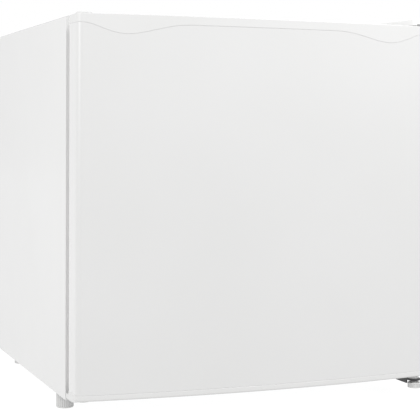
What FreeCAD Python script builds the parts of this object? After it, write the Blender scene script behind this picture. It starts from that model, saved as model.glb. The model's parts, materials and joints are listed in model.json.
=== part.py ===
import FreeCAD, Part
import math
import os
import re
import Sketcher
from FreeCAD import Placement, Rotation, Vector

# A table-top mini fridge with one door, an ice box and a compressor at the back.
# Frame: X to the right, the door faces -Y, Z up. All lengths are in millimetres.
# Heights are drawn from a datum that lies `stance` above the floor, because the screw feet
# are turned out by that much. The finished pieces are raised by it as they are written, so
# their origin is on the floor, under the middle of the bounding box.

os.makedirs("parts", exist_ok=True)
doc = FreeCAD.newDocument("MiniFridge")

SIZES = {
    # whole cabinet
    "half_wide": 236.0,         # half of the overall width
    "cab_front": -160.0,        # plane of the cabinet's front flanges
    "cab_rear": 195.0,          # recessed rear panel
    "wrap_rear": 225.0,         # rear edge of the steel wrap, level with the condenser
    "stance": 3.0,              # how far the feet reach below the datum
    "cab_low": 17.3,            # underside of the cabinet
    "cab_high": 483.5,          # top of the cabinet
    "steel": 0.8,               # steel sheet
    "plastic": 2.0,             # vacuum-formed liners
    "lip": 14.0,                # folded front lip of the steel wrap
    "wrap_bend": 3.0,           # outer bend where the wrap turns over the top
    # cold compartment
    "in_half": 200.0,           # half of the inside width
    "in_low": 55.0,
    "in_high": 445.0,
    "in_rear": 160.0,
    "step_front": 12.0,         # front of the step over the compressor
    "step_high": 200.0,         # top of that step
    "bay_front": 48.0,          # front wall of the compressor bay
    "bay_high": 165.0,          # ceiling of the compressor bay
    "ledge": 6.0,               # how far the moulded ledges stand out of the liner
    "ledge_front": -85.0,
    "shelf_ledge": 216.0,       # top of the ledges under the shelf
    "tray_ledge": 318.0,        # top of the ledges under the drip tray
    # door
    "door_low": 24.4,
    "door_high": 482.9,
    "door_chord": -209.5,       # front plane through the door's two vertical corners
    "bulge": 15.5,              # how far the front bows out of that plane
    "door_back": -174.0,
    "corner": 9.0,              # radius of the door's front vertical corners
    "cap_wall": 2.5,
    "cap_blank": 40.0,          # height of the top cap before its edge is cut
    "cap_seam": 0.4,            # gap between a cap and the door skin
    "low_cap": 7.2,             # height of the bottom cap
    "cap_round": 2.0,
    "heel_low": 20.3,           # underside of the bottom cap's rear heel
    "heel_rear": -163.0,        # the heel closes the gap under the gasket
    "heel_end": 200.0,          # right end of the heel, clear of the hinge bracket
    "foam_inset": 3.2,
    "well_half": 172.0,         # half width of the well between the liner's ridges
    "ridge_half": 196.0,        # half width over those ridges
    "ridge_low": 59.0,
    "ridge_high": 441.0,
    "ridge_wide": 24.0,
    "ridge_top": -156.0,
    "lug": 4.0,
    # gasket
    "seal_half": 222.0,
    "seal_low": 38.4,
    "seal_high": 468.9,
    # hinges
    "pin_x": 225.0,
    "pin_y": -200.0,
    "pin_radius": 3.0,
    "pin_gap": 0.05,
    "bush_radius": 5.5,
    "bush_long": 22.0,
    "plate": 2.5,               # thickness of both hinge plates
    "bracket_top": 21.1,
    "cover_high": 492.0,
    # feet
    "foot_x": 222.0,
    "left_foot_y": -105.0,
    "right_foot_y": -80.0,      # set back, clear of the hinge bracket's tail
    "foot_radius": 11.0,
    "hinge_foot": 9.0,          # radius of the short foot under the hinge bracket
    "hinge_foot_x": 226.0,
    "hinge_foot_y": -202.0,
    "stud_radius": 4.0,
    "rear_foot_x": 205.0,
    "rear_foot_y": 204.0,
    # ice box
    "ice_half": 192.0,
    "ice_low": 346.0,
    "ice_high": 441.0,
    "ice_front": -52.0,
    "ice_rear": 140.0,
    "ice_wall": 1.6,
    "flap_half": 184.8,
    "flap_y": -63.0,
    "flap_z": 431.0,
    "flap_pin": 1.5,
    # thermostat
    "dial_y": -25.0,
    "dial_z": 272.0,
    "dial_face": 165.0,
    "dial_radius": 19.0,
    "shaft_radius": 3.0,
    # racks, shelf and tray
    "rack_half": 166.0,
    "rack_rear": -172.5,
    "rack_front": -98.0,
    "rack_wall": 2.2,
    "upper_rack": 232.0,
    "lower_rack": 88.0,
    "rail_radius": 2.2,
    "shelf_half": 196.5,
    "shelf_front": -84.0,
    "shelf_rear": 150.0,
    "shelf_rod": 2.4,
    "shelf_wire": 1.3,
    "tray_low": 306.0,
    "tray_front": -70.0,
    "tray_rear": 138.0,
    "tray_half": 190.0,
    # cooling circuit
    "pump_x": 40.0,
    "pump_y": 121.0,
    "pump_radius": 57.0,
    "pump_low": 36.0,
    "pump_high": 154.0,
    "coil_y": 218.4,
    "coil_half": 185.0,
    "coil_low": 192.0,
    "coil_pitch": 32.0,
    "coil_tube": 2.4,
    "coil_wire": 0.8,
    "suction_radius": 3.2,
    "capillary_radius": 1.0,
    "pipe_x": -150.0,           # where the pipes climb inside the rear foam
    "pipe_y": 186.0,
    "pipe_z": 403.0,
}

COIL_PASSES = 9
COIL_WIRES = 31
SHELF_WIRES = 27
FOOT_FLUTES = 24

sheet = doc.addObject("Spreadsheet::Sheet", "Dims")
for row, (size_name, size_value) in enumerate(SIZES.items(), 1):
    sheet.set("A%d" % row, size_name)
    sheet.set("B%d" % row, str(size_value))
    sheet.setAlias("B%d" % row, size_name)
doc.recompute()

scratch = doc.addObject("Spreadsheet::Sheet", "Scratch")

NODES = {}


# ---------------------------------------------------------------- helpers

def formula(text):
    """Point every size name in a formula at the sheet."""
    def point(word):
        return "Dims." + word.group(0) if word.group(0) in SIZES else word.group(0)
    return re.sub(r"[A-Za-z_]\w*", point, str(text))


WORKED_OUT = {}


def number(text):
    """Work a formula out as a plain number, in a cell of a sheet of its own."""
    if text not in WORKED_OUT:
        scratch.set("A1", "=1*(%s)" % formula(text))
        scratch.recompute()
        WORKED_OUT[text] = float(scratch.get("A1"))
    return WORKED_OUT[text]


def bind(thing, prop, text):
    thing.setExpression(prop, formula(text))


def new_body(name):
    body = doc.addObject("PartDesign::Body", name)
    NODES[name] = body
    return body


def place(body, x="0", y="0", z="0"):
    bind(body, ".Placement.Base.x", x)
    bind(body, ".Placement.Base.y", y)
    bind(body, ".Placement.Base.z", z)


def box(x0, y0, x1, y1):
    """Corners of a rectangle."""
    return [(x0, y0), (x1, y0), (x1, y1), (x0, y1)]


def middle(x, y):
    """Corners of a rectangle about the sketch's vertical axis."""
    return box("-(%s)" % x, y[0], x, y[1])


def pin_point(sketch, index, spot, corner):
    """Hold one point of a sketch at two formulas."""
    for kind, text in zip(("DistanceX", "DistanceY"), corner):
        made = sketch.addConstraint(Sketcher.Constraint(kind, -1, 1, index, spot, number(text)))
        bind(sketch, "Constraints[%d]" % made, text)


def draw_polygon(sketch, corners, bow=None):
    """Closed outline. The side that starts at corner 0 is an arc when bow is given."""
    points = [Vector(number(x), number(y), 0) for x, y in corners]
    first = sketch.GeometryCount
    ends = []
    for side, start in enumerate(points):
        stop = points[(side + 1) % len(points)]
        if side == 0 and bow:
            crown = (start + stop) * 0.5 - Vector(0, number(bow), 0)
            sketch.addGeometry(Part.Arc(start, crown, stop), False)
            arc = sketch.Geometry[first]
            same = arc.StartPoint.distanceToPoint(start) < 1e-6
            ends.append((1, 2) if same else (2, 1))
        else:
            sketch.addGeometry(Part.LineSegment(start, stop), False)
            ends.append((1, 2))
    count = len(points)
    for side in range(count):
        after = (side + 1) % count
        sketch.addConstraint(Sketcher.Constraint(
            "Coincident", first + side, ends[side][1], first + after, ends[after][0]))
    for side in range(count):
        pin_point(sketch, first + side, ends[side][0], corners[side])
    if bow:
        half = "(%s-(%s))/2" % (corners[1][0], corners[0][0])
        radius = "((%s)^2+(%s)^2)/(2*(%s))" % (half, bow, bow)
        made = sketch.addConstraint(Sketcher.Constraint("Radius", first, number(radius)))
        bind(sketch, "Constraints[%d]" % made, radius)


def draw_circle(sketch, x, y, radius):
    made = sketch.addGeometry(Part.Circle(
        Vector(number(x), number(y), 0), Vector(0, 0, 1), number(radius)), False)
    pin_point(sketch, made, 3, (x, y))
    limit = sketch.addConstraint(Sketcher.Constraint("Radius", made, number(radius)))
    bind(sketch, "Constraints[%d]" % limit, radius)


PLANES = {"x": "YZ_Plane", "y": "XZ_Plane", "z": "XY_Plane"}


def new_sketch(body, name, axis, level="0"):
    """Sketch across an axis, at a level counted along its plane's own normal."""
    sketch = body.newObject("Sketcher::SketchObject", name)
    plane = next(item for item in body.Origin.OriginFeatures if item.Role == PLANES[axis])
    sketch.AttachmentSupport = [(plane, "")]
    sketch.MapMode = "FlatFace"
    bind(sketch, "AttachmentOffset.Base.z", level)
    return sketch


def slab(body, name, axis, loops, low, high, cut=False, bow=None):
    """Pad, or pocket, the loops from low to high along an axis.

    The XZ plane looks along -Y, so there the levels change sign. A loop of three
    formulas is a circle, and any other loop is a polygon.
    """
    near, far = low, high
    if axis == "y":
        near, far = "-(%s)" % high, "-(%s)" % low
    sketch = new_sketch(body, name + "_sketch", axis, far if cut else near)
    for loop in loops:
        if len(loop) == 3 and not isinstance(loop[0], tuple):
            draw_circle(sketch, *loop)
        else:
            draw_polygon(sketch, loop, bow)
    feature = body.newObject("PartDesign::Pocket" if cut else "PartDesign::Pad", name)
    feature.Profile = sketch
    bind(feature, "Length", "(%s)-(%s)" % (high, low))
    sketch.Visibility = False
    return feature


def spin(body, name, profile):
    """Turn a profile of (radius, height) corners about the body's own Z axis."""
    sketch = new_sketch(body, name + "_sketch", "y")
    draw_polygon(sketch, profile)
    feature = body.newObject("PartDesign::Revolution", name)
    feature.Profile = sketch
    feature.ReferenceAxis = (sketch, ["V_Axis"])
    feature.Angle = 360
    return feature


def soften(body, name, radius, wanted):
    """Round the edges of the body's newest feature that wanted picks out."""
    doc.recompute()
    base = body.Tip
    edges = ["Edge%d" % index for index, edge in enumerate(base.Shape.Edges, 1) if wanted(edge)]
    feature = body.newObject("PartDesign::Fillet", name)
    feature.Base = (base, edges)
    bind(feature, "Radius", radius)
    return feature


def runs_along(edge, axis):
    """True for a straight edge along an axis."""
    if edge.Curve.TypeId != "Part::GeomLine":
        return False
    along = edge.tangentAt(edge.FirstParameter)
    return abs(getattr(along, axis)) > 0.999


def solid_node(name, shape):
    """A piece whose shape neither a sketch nor a primitive fits, such as a bent tube."""
    piece = doc.addObject("Part::Feature", name)
    piece.Shape = shape
    piece.Placement = Placement()
    NODES[name] = piece
    return piece


def bent_wire(points, bend):
    """Straight runs through the points, joined by tangent arcs."""
    edges = []
    here = points[0]
    for before, corner, after in zip(points, points[1:], points[2:]):
        back = (before - corner).normalize()
        ahead = (after - corner).normalize()
        turn = math.pi - back.getAngle(ahead)
        reach = bend * math.tan(turn / 2)
        start = corner + back * reach
        stop = corner + ahead * reach
        inward = (back + ahead).normalize()
        depth = bend / math.cos(turn / 2) - bend
        edges.append(Part.LineSegment(here, start).toShape())
        edges.append(Part.Arc(start, corner + inward * depth, stop).toShape())
        here = stop
    edges.append(Part.LineSegment(here, points[-1]).toShape())
    return Part.Wire(edges)


def tube_shape(points, radius, bend):
    """Round bar along straight runs and arcs. Its volume is checked against its length."""
    path = bent_wire([Vector(*point) for point in points], bend)
    first = Vector(*points[0])
    along = Vector(*points[1]) - first
    ring = Part.Wire(Part.Circle(first, along, radius).toShape())
    shape = path.makePipeShell([ring], True, False)
    expected = math.pi * radius ** 2 * path.Length
    if abs(shape.Volume - expected) > 0.02 * expected:
        raise ValueError("tube volume is off: %.1f against %.1f" % (shape.Volume, expected))
    return shape


def cylinder(start, along, radius, length):
    return Part.makeCylinder(radius, length, Vector(*start), Vector(*along))


# ---------------------------------------------------------------- cabinet

def make_outer_shell():
    """One steel sheet bent over both sides and the top, with a lip folded in at the front."""
    body = new_body("outer_shell")
    outside = box("-half_wide", "cab_low", "half_wide", "cab_high")
    slab(body, "wrap", "y", [outside], "cab_front", "wrap_rear")
    soften(body, "wrap_bends", "wrap_bend",
           lambda edge: runs_along(edge, "y") and edge.CenterOfMass.z > number("cab_high-1"))
    inside = box("-half_wide+steel", "cab_low-1", "half_wide-steel", "cab_high-steel")
    slab(body, "wrap_inside", "y", [inside], "cab_front+steel", "wrap_rear+1", cut=True)
    mouth = box("-half_wide+lip", "cab_low-1", "half_wide-lip", "cab_high-lip")
    slab(body, "mouth", "y", [mouth], "cab_front-1", "cab_front+steel+1", cut=True)
    slab(body, "top_holes", "z",
         [("218", "-140", "2.1"), ("218", "-122", "2.1"), ("-218", "-140", "2.1"), ("-218", "-122", "2.1")],
         "cab_high-2", "cab_high+1", cut=True)


def make_rear_panel():
    body = new_body("rear_panel")
    slab(body, "sheet", "y", [middle("half_wide-steel", ("bay_high+steel", "cab_high-steel"))],
         "cab_rear-steel", "cab_rear")
    pressed = [middle("half_wide-70", ("bay_high+40", "bay_high+44")),
               middle("half_wide-70", ("cab_high-60", "cab_high-56"))]
    slab(body, "stiffening_beads", "y", pressed, "cab_rear-0.1", "cab_rear+1.6")


def make_base_plate():
    """Floor of the cabinet, front wall of the compressor bay and its ceiling, in one sheet."""
    body = new_body("base_plate")
    profile = [("cab_front", "cab_low+lip"), ("cab_front", "cab_low"), ("bay_front", "cab_low"),
               ("bay_front", "bay_high"), ("cab_rear", "bay_high"), ("cab_rear", "bay_high+steel"),
               ("bay_front-steel", "bay_high+steel"), ("bay_front-steel", "cab_low+steel"),
               ("cab_front+steel", "cab_low+steel"), ("cab_front+steel", "cab_low+lip")]
    slab(body, "bent_sheet", "x", [profile], "-half_wide+steel", "half_wide-steel")
    lip_ends = [box("half_wide-lip-0.2", "cab_low-1", "half_wide", "cab_low+lip+1"),
                box("-half_wide", "cab_low-1", "-half_wide+lip+0.2", "cab_low+lip+1")]
    slab(body, "lip_ends", "y", lip_ends, "cab_front-1", "cab_front+steel+0.1", cut=True)
    holes = [("foot_x", "right_foot_y", "stud_radius+0.4"), ("-foot_x", "left_foot_y", "stud_radius+0.4")]
    slab(body, "foot_holes", "z", holes, "cab_low-1", "cab_low+2", cut=True)
    slab(body, "pipe_hole", "z", [("pipe_x-3", "pipe_y-4", "9")], "bay_high-1", "bay_high+2", cut=True)


LINER_OUTSIDE = [("cab_front", "in_low-plastic"), ("step_front+plastic", "in_low-plastic"),
                 ("step_front+plastic", "step_high-plastic"), ("in_rear+plastic", "step_high-plastic"),
                 ("in_rear+plastic", "in_high+plastic"), ("cab_front", "in_high+plastic")]
LINER_INSIDE = [("cab_front-1", "in_low"), ("step_front", "in_low"), ("step_front", "step_high"),
                ("in_rear", "step_high"), ("in_rear", "in_high"), ("cab_front-1", "in_high")]


def make_inner_liner():
    """Moulded cold compartment with a step over the compressor and ledges on both sides."""
    body = new_body("inner_liner")
    slab(body, "box_outside", "x", [LINER_OUTSIDE], "-in_half-plastic", "in_half+plastic")
    slab(body, "flange", "y", [box("-half_wide+lip+0.4", "cab_low+lip+0.4", "half_wide-lip-0.4",
                                   "cab_high-lip-0.4")], "cab_front", "cab_front+plastic")
    slab(body, "box_inside", "x", [LINER_INSIDE], "-in_half", "in_half", cut=True)
    soften(body, "inside_corners", "8", lambda edge: runs_along(edge, "y")
           and abs(abs(edge.CenterOfMass.x) - number("in_half")) < 0.1)
    for side in (-1, 1):
        low, high = "in_half-ledge", "in_half+1"
        if side < 0:
            low, high = "-in_half-1", "-in_half+ledge"
        tag = "left" if side < 0 else "right"
        slab(body, "shelf_ledge_" + tag, "x",
             [box("ledge_front", "shelf_ledge-6", "in_rear+1", "shelf_ledge")], low, high)
        slab(body, "tray_ledge_" + tag, "x",
             [box("ledge_front+15", "tray_ledge-6", "in_rear+1", "tray_ledge")], low, high)
    slab(body, "pipe_hole", "y", [("pipe_x", "pipe_z", "9")], "in_rear-1", "in_rear+plastic+1", cut=True)


FOOT_SPOTS = {"left": ("-foot_x", "left_foot_y"), "right": ("foot_x", "right_foot_y")}


def make_cabinet_foam():
    """Insulation that fills the space between the steel and the liner."""
    body = new_body("cabinet_foam")
    front = "cab_front+plastic+0.2"
    high = "cab_high-steel-0.2"
    profile = [(front, "cab_low+steel"), ("bay_front-steel", "cab_low+steel"),
               ("bay_front-steel", "bay_high+steel"), ("cab_rear-steel", "bay_high+steel"),
               ("cab_rear-steel", high), (front, high)]
    slab(body, "fill", "x", [profile], "-half_wide+steel+2.4", "half_wide-steel-2.4")
    slab(body, "liner_space", "x", [LINER_OUTSIDE], "-in_half-plastic", "in_half+plastic", cut=True)
    for side, spot in FOOT_SPOTS.items():
        slab(body, side + "_foot_space", "z", [spot + ("8",)], "cab_low", "cab_low+24", cut=True)
    slab(body, "pipe_channel", "z", [box("pipe_x-11", "pipe_y-9", "pipe_x+9", "cab_rear")],
         "bay_high", "pipe_z+9", cut=True)
    slab(body, "pipe_way_in", "y", [("pipe_x", "pipe_z", "9")], "in_rear", "cab_rear", cut=True)


def make_feet():
    """Two ribbed front feet that screw in the base plate, and two plain rear feet."""
    for side, spot in FOOT_SPOTS.items():
        body = new_body(side + "_front_foot")
        place(body, *spot)
        spin(body, "turned", [("0", "-stance"), ("foot_radius-0.6", "-stance"),
                              ("foot_radius", "1-stance"), ("foot_radius", "cab_low-1.7"),
                              ("foot_radius-1", "cab_low-0.7"), ("stud_radius", "cab_low-0.7"),
                              ("stud_radius", "cab_low+16.7"), ("0", "cab_low+16.7")])
        flute_foot(body, "foot_radius", "2-stance", "cab_low-2.3")
        doc.recompute()
    rear = new_body("rear_feet")
    for side in (-1, 1):
        spot = ("%d*rear_foot_x" % side, "rear_foot_y")
        slab(rear, "foot_%d" % (side + 2), "z", [spot + ("12",)], "-stance", "cab_low-2.5")
        slab(rear, "neck_%d" % (side + 2), "z", [spot + ("5",)], "cab_low-2.6", "cab_low")
    rear_rail()


def flute_foot(body, radius, low, high):
    """Cut a ring of grip flutes in the rim of a round knob."""
    flute = slab(body, body.Name + "_flute", "z", [(radius + "+0.3", "0", "0.9")], low, high, cut=True)
    doc.recompute()
    ring = body.newObject("PartDesign::PolarPattern", body.Name + "_flutes")
    ring.Originals = [flute]
    ring.Axis = (flute.Profile[0], ["N_Axis"])
    ring.Angle = 360
    ring.Occurrences = FOOT_FLUTES
    body.Tip = ring


def rear_rail():
    """Steel rail across the open bottom of the bay. It carries the compressor and rear feet."""
    body = new_body("compressor_rail")
    low = "cab_low"
    slab(body, "floor", "z", [box("-half_wide+steel", "bay_front+6", "half_wide-steel", "wrap_rear-2")],
         low, "cab_low+1.5")
    spots = {"front": ("bay_front+6", "bay_front+7.5"), "rear": ("wrap_rear-3.5", "wrap_rear-2")}
    for side, spot in spots.items():
        slab(body, side + "_flange", "z", [box("-half_wide+steel", spot[0], "half_wide-steel", spot[1])],
             low, "cab_low+11")
    slots = [box("-160+%d" % (40 * index), "bay_front+50", "-140+%d" % (40 * index), "cab_rear-50")
             for index in (0, 1, 6, 7)]
    slab(body, "vents", "z", slots, "cab_low-1", "cab_low+3", cut=True)


# ---------------------------------------------------------------- hinges

def make_lower_hinge():
    """Bracket under the cabinet that carries the door's lower pin and a short foot."""
    body = new_body("lower_hinge_bracket")
    slab(body, "plate", "z", [box("pin_x-8.4", "pin_y-9", "pin_x+9", "cab_front-2.6")],
         "bracket_top-plate", "bracket_top")
    soften(body, "plate_round", "7", lambda edge: runs_along(edge, "z")
           and edge.CenterOfMass.y < number("pin_y"))
    slab(body, "riser", "z", [box("pin_x-8.4", "cab_front-5.1", "pin_x+9", "cab_front-2.6")],
         "cab_low-plate", "bracket_top")
    slab(body, "tail", "z", [box("pin_x-31", "cab_front-5.1", "pin_x+9", "cab_front+34")],
         "cab_low-plate", "cab_low-0.02")
    slab(body, "side_web", "x", [box("pin_y+5", "cab_low-3.7", "cab_front-2.6", "bracket_top")],
         "pin_x-7.4", "pin_x-5.6")
    slab(body, "pin_hole", "z", [("pin_x", "pin_y", "pin_radius")], "bracket_top-4", "bracket_top+1",
         cut=True)
    screws = [("pin_x-22", "cab_front+8", "2.1"), ("pin_x-22", "cab_front+26", "2.1"),
              ("pin_x-2", "cab_front+26", "2.1")]
    slab(body, "screw_holes", "z", screws, "cab_low-4", "cab_low+1", cut=True)

    pin = new_body("lower_hinge_pin")
    slab(pin, "shank", "z", [("pin_x", "pin_y", "pin_radius")], "bracket_top-plate-1.2", "door_low+17")
    soften(pin, "nose", "1", lambda edge: edge.CenterOfMass.z > number("door_low+16.9"))

    washer = new_body("hinge_washer")
    slab(washer, "ring", "z", [("pin_x", "pin_y", "7"), ("pin_x", "pin_y", "pin_radius+0.1")],
         "bracket_top", "door_low-1.2")

    fixings = new_body("lower_hinge_screws")
    for index, (x, y, _) in enumerate(screws):
        slab(fixings, "head_%d" % index, "z", [(x, y, "4")], "cab_low-plate-2.4", "cab_low-plate")
        slab(fixings, "shank_%d" % index, "z", [(x, y, "2.05")], "cab_low-plate-0.1", "cab_low")

    foot = new_body("hinge_foot")
    place(foot, "hinge_foot_x", "hinge_foot_y")
    spin(foot, "turned", [("0", "9"), ("hinge_foot-0.5", "9"), ("hinge_foot", "9.6"),
                          ("hinge_foot", "15.2"), ("hinge_foot-0.6", "15.8"), ("stud_radius+0.6", "15.8"),
                          ("stud_radius+0.6", "17"), ("0", "17")])
    flute_foot(foot, "hinge_foot", "10.4", "14.6")


COVER = [("214.5", "-211"), ("235.5", "-211"), ("235.5", "-112"), ("201.5", "-112")]
PLATE = [("217.3", "-208.2"), ("232.9", "-208.2"), ("232.9", "-114.6"), ("205", "-114.6")]
COVER_INSIDE = [("216.7", "-208.9"), ("233.5", "-208.9"), ("233.5", "-114"), ("203.9", "-114")]
COVER_SLOT = box("219", "-220", "232", "-206")


def upright(edge):
    return runs_along(edge, "z")


def make_top_hinge():
    """Plate on the cabinet's top with a pin that points down into the door, and its cover."""
    body = new_body("top_hinge_plate")
    slab(body, "sheet", "z", [PLATE], "cab_high", "cab_high+plate")
    soften(body, "sheet_round", "4", upright)
    holes = [("218", "-140", "2.1"), ("218", "-122", "2.1"), ("pin_x", "pin_y", "pin_radius")]
    slab(body, "holes", "z", holes, "cab_high-1", "cab_high+plate+1", cut=True)

    pin = new_body("top_hinge_pin")
    slab(pin, "shank", "z", [("pin_x", "pin_y", "pin_radius")], "door_high-17", "cab_high+plate")
    slab(pin, "head", "z", [("pin_x", "pin_y", "5")], "cab_high+plate", "cab_high+plate+1.6")

    fixings = new_body("top_hinge_screws")
    for index, (x, y, _) in enumerate(holes[:2]):
        slab(fixings, "shank_%d" % index, "z", [(x, y, "2.05")], "cab_high-0.8", "cab_high+plate+0.1")
        slab(fixings, "head_%d" % index, "z", [(x, y, "4")], "cab_high+plate", "cab_high+plate+2.4")
        slab(fixings, "slot_%d" % index, "z", [box(x + "-3", y + "-0.5", x + "+3", y + "+0.5")],
             "cab_high+plate+1.4", "cab_high+plate+3", cut=True)

    cover = new_body("top_hinge_cover")
    slab(cover, "cap", "z", [COVER], "cab_high+0.2", "cover_high")
    soften(cover, "cap_corners", "6", upright)
    soften(cover, "cap_edge", "1.4", lambda edge: edge.BoundBox.ZMin > number("cover_high-0.1"))
    slab(cover, "cap_inside", "z", [COVER_INSIDE], "cab_high-1", "cover_high-1.8", cut=True)
    slab(cover, "front_slot", "z", [COVER_SLOT], "cab_high-1", "cab_high+1.9", cut=True)

    plugs = new_body("cabinet_hole_plugs")
    for index, y in enumerate(("-140", "-122")):
        slab(plugs, "stem_%d" % index, "z", [("-218", y, "2.1")], "cab_high-0.8", "cab_high+0.1")
        slab(plugs, "button_%d" % index, "z", [("-218", y, "4.5")], "cab_high", "cab_high+1.2")


# ---------------------------------------------------------------- door

def door_outline(inset="0", back="door_back-plastic"):
    """Plan of the door: flat sides and back, and a front that bows out."""
    half = "half_wide-(%s)" % inset
    front = "door_chord+(%s)" % inset
    return [("-(%s)" % half, front), (half, front), (half, back), ("-(%s)" % half, back)]


def front_corners(inset="0"):
    """Pick the upright edges at the two front corners of a door outline."""
    half = number("half_wide-(%s)" % inset)
    front = number("door_chord+(%s)" % inset)
    return lambda edge: (upright(edge) and abs(edge.CenterOfMass.y - front) < 0.05
                         and abs(abs(edge.CenterOfMass.x) - half) < 0.05)


def door_block(body, name, low, high, radius, inset="0", back="door_back-plastic"):
    """Solid slice of the door with rounded front corners."""
    slab(body, name, "z", [door_outline(inset, back)], low, high, bow="bulge")
    soften(body, name + "_corners", radius, front_corners(inset))


def door_sheet(body, name, wall, low, high, hollow_low, hollow_high):
    """Slice of the door that is open at the back. The inner corners are rounded first."""
    slab(body, name, "z", [door_outline()], low, high, bow="bulge")
    inside = door_outline(wall, "door_back-plastic+1")
    slab(body, name + "_inside", "z", [inside], hollow_low, hollow_high, cut=True, bow="bulge")
    soften(body, name + "_inner_corners", "corner-(%s)" % wall, front_corners(wall))
    soften(body, name + "_outer_corners", "corner", front_corners())


# The seam under the top cap, as (distance from the middle, depth below the door's top).
WAVE = [(100, 11.0), (119, 12.7), (138, 16.6), (157, 21.0), (174, 23.2), (190, 21.8), (205, 17.4),
        (219, 12.4), (229, 10.6), (240, 10.6)]


def wave_tool(name, drop, low):
    """Block whose top follows the seam, lowered by drop. It reaches down to low."""
    top = number("door_high") - drop
    wide = WAVE[-1][0]
    right = [Vector(x, -300, top - depth) for x, depth in WAVE]
    left = [Vector(-point.x, point.y, point.z) for point in reversed(right)]
    curves = []
    for points in (left, right):
        spline = Part.BSplineCurve()
        spline.interpolate(points)
        curves.append(spline.toShape())
    flat = Part.LineSegment(left[-1], right[0]).toShape()
    floor = [Vector(wide, -300, low), Vector(-wide, -300, low)]
    sides = [Part.LineSegment(right[-1], floor[0]).toShape(),
             Part.LineSegment(floor[0], floor[1]).toShape(),
             Part.LineSegment(floor[1], left[0]).toShape()]
    face = Part.Face(Part.Wire([curves[0], flat, curves[1]] + sides))
    tool = doc.addObject("Part::Feature", name)
    tool.Shape = face.extrude(Vector(0, 200, 0))
    return tool


def make_door_skin():
    """Steel front bent round both sides, with caps at the top and bottom."""
    blank = new_body("skin_blank")
    door_sheet(blank, "skin", "steel", "door_low+low_cap+cap_seam", "door_high-2", "door_low",
               "door_high+1")
    skin_tool = wave_tool("skin_wave", number("cap_seam"), number("door_low"))
    skin = doc.addObject("Part::Common", "door_panel")
    skin.Base, skin.Tool = NODES.pop("skin_blank"), skin_tool
    NODES["door_panel"] = skin

    cap_blank = new_body("cap_blank_body")
    door_sheet(cap_blank, "cap", "cap_wall", "door_high-cap_blank", "door_high",
               "door_high-cap_blank-1", "door_high-cap_wall")
    soften(cap_blank, "cap_edge", "cap_round", lambda edge: edge.BoundBox.ZMin > number("door_high-0.1")
           and edge.BoundBox.YMin < number("door_back-plastic-0.5"))
    slab(cap_blank, "cap_bores", "z", [("pin_x", "pin_y", "bush_radius"), ("-pin_x", "pin_y", "4")],
         "door_high-5", "door_high+1", cut=True)
    cap_tool = wave_tool("cap_wave", 0.0, number("door_low"))
    cap = doc.addObject("Part::Cut", "door_top_cap")
    cap.Base, cap.Tool = NODES.pop("cap_blank_body"), cap_tool
    NODES["door_top_cap"] = cap

    low = new_body("door_bottom_cap")
    door_sheet(low, "low_cap_sheet", "cap_wall", "door_low", "door_low+low_cap", "door_low+cap_wall",
               "door_low+low_cap+1")
    soften(low, "low_cap_edge", "cap_round", lambda edge: edge.BoundBox.ZMax < number("door_low+0.1")
           and edge.BoundBox.YMin < number("door_back-plastic-0.5"))
    heel = [("pin_y-1", "door_low+0.2"), ("pin_y-1", "door_low"), ("pin_y+18", "heel_low"),
            ("heel_rear", "heel_low"), ("heel_rear", "door_low+3"), ("door_back-plastic", "door_low+3"),
            ("door_back-plastic", "door_low+0.2")]
    slab(low, "heel", "x", [heel], "-half_wide", "heel_end")
    soften(low, "heel_edges", "1.2", lambda edge: runs_along(edge, "x")
           and abs(edge.CenterOfMass.z - number("heel_low")) < 0.05)
    slab(low, "low_cap_bores", "z", [("pin_x", "pin_y", "bush_radius"), ("-pin_x", "pin_y", "4")],
         "door_low-1", "door_low+5", cut=True)
    slab(low, "plug_seat", "z", [("-pin_x", "pin_y", "8.4")], "heel_low-1", "door_low", cut=True)


def make_door_foam():
    body = new_body("door_foam")
    door_block(body, "fill", "door_low+foam_inset", "door_high-foam_inset", "corner-1.6", "foam_inset",
               "door_back-plastic-0.2")
    bores = [("pin_x", "pin_y", "bush_radius+0.2"), ("-pin_x", "pin_y", "5")]
    slab(body, "low_bores", "z", bores, "door_low", "door_low+bush_long+2", cut=True)
    slab(body, "high_bores", "z", bores, "door_high-bush_long-2", "door_high", cut=True)


def frame(x_out, z_out, width):
    """Two loops: a rectangle about the middle, and a smaller one inside it."""
    return [box("-(%s)" % x_out, z_out[0], x_out, z_out[1]),
            box("-(%s)+(%s)" % (x_out, width), "%s+(%s)" % (z_out[0], width),
                "%s-(%s)" % (x_out, width), "%s-(%s)" % (z_out[1], width))]


def make_door_liner():
    """Moulded inner sheet of the door, with a hollow ridge round a flat well."""
    body = new_body("door_liner")
    slab(body, "sheet", "y", [middle("half_wide-0.4", ("door_low+3.4", "door_high-0.4"))],
         "door_back-plastic", "door_back")
    soften(body, "sheet_corners", "3", lambda edge: runs_along(edge, "y"))
    ridge = frame("ridge_half", ("ridge_low", "ridge_high"), "ridge_wide")
    slab(body, "ridge", "y", ridge, "door_back-0.1", "ridge_top")
    soften(body, "ridge_tops", "5", lambda edge: edge.BoundBox.YMin > number("ridge_top-0.1"))
    hollow = frame("ridge_half-plastic", ("ridge_low+plastic", "ridge_high-plastic"),
                   "ridge_wide-2*plastic")
    slab(body, "ridge_hollow", "y", hollow, "door_back-plastic-1", "ridge_top-plastic-2", cut=True)
    for index, level in enumerate(("upper_rack+30", "lower_rack+50")):
        for side in (-1, 1):
            low, high = ("well_half-lug", "well_half+1") if side > 0 else ("-well_half-1", "-well_half+lug")
            slab(body, "lug_%d_%d" % (index, side + 2), "x",
                 [box("door_back+4", level, "door_back+14", level + "+8")], low, high)


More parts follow.
